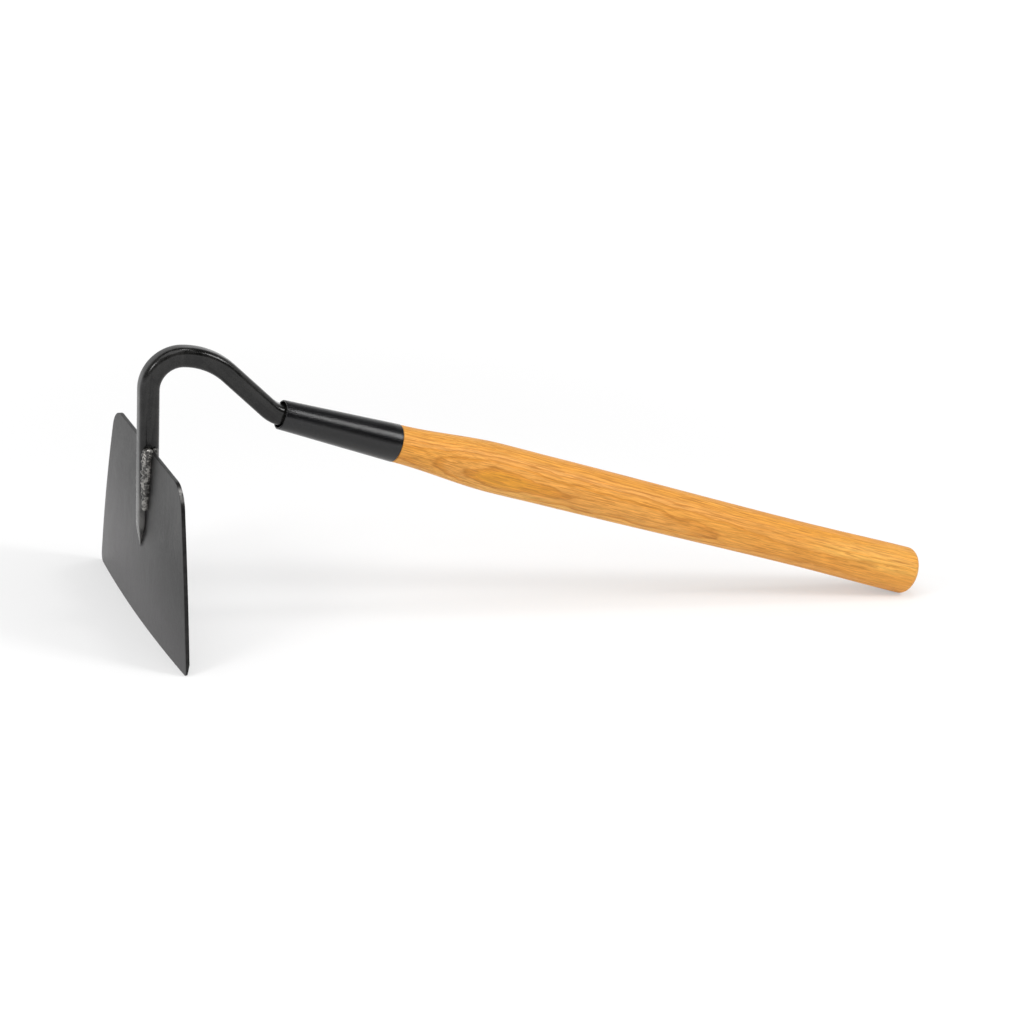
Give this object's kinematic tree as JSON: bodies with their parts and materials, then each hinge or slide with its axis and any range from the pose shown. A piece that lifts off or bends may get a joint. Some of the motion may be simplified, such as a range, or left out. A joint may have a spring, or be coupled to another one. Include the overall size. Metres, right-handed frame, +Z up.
{
  "type": "draw hoe",
  "caption": "Short handled draw hoe: a dished trapezoid steel blade welded to a square gooseneck bar, with a tapered steel ferrule and a turned oak handle.",
  "frame": {"origin": "middle of the footprint on the floor, where the tool stands on its cutting edge and on the butt of its handle", "axes": "+X from the blade to the handle's butt, +Y across the blade, +Z up"},
  "size_m": [0.5464, 0.1894, 0.1738],
  "materials": {
    "blade_steel": "dark rolled plate, satin, with fine upright marks",
    "neck_steel": "dark oiled forged bar, satin",
    "weld_metal": "rough welded bead",
    "ferrule_steel": "black, satin",
    "oak": "turned oak, satin lacquer"
  },
  "bodies": {
    "root": {"blade": "blade_steel", "gooseneck": "neck_steel", "weld_bead_outer_left": "weld_metal", "weld_bead_outer_right": "weld_metal", "weld_bead_inner_left": "weld_metal", "weld_bead_inner_right": "weld_metal", "ferrule": "ferrule_steel", "handle": "oak"}
  },
  "joints": []
}
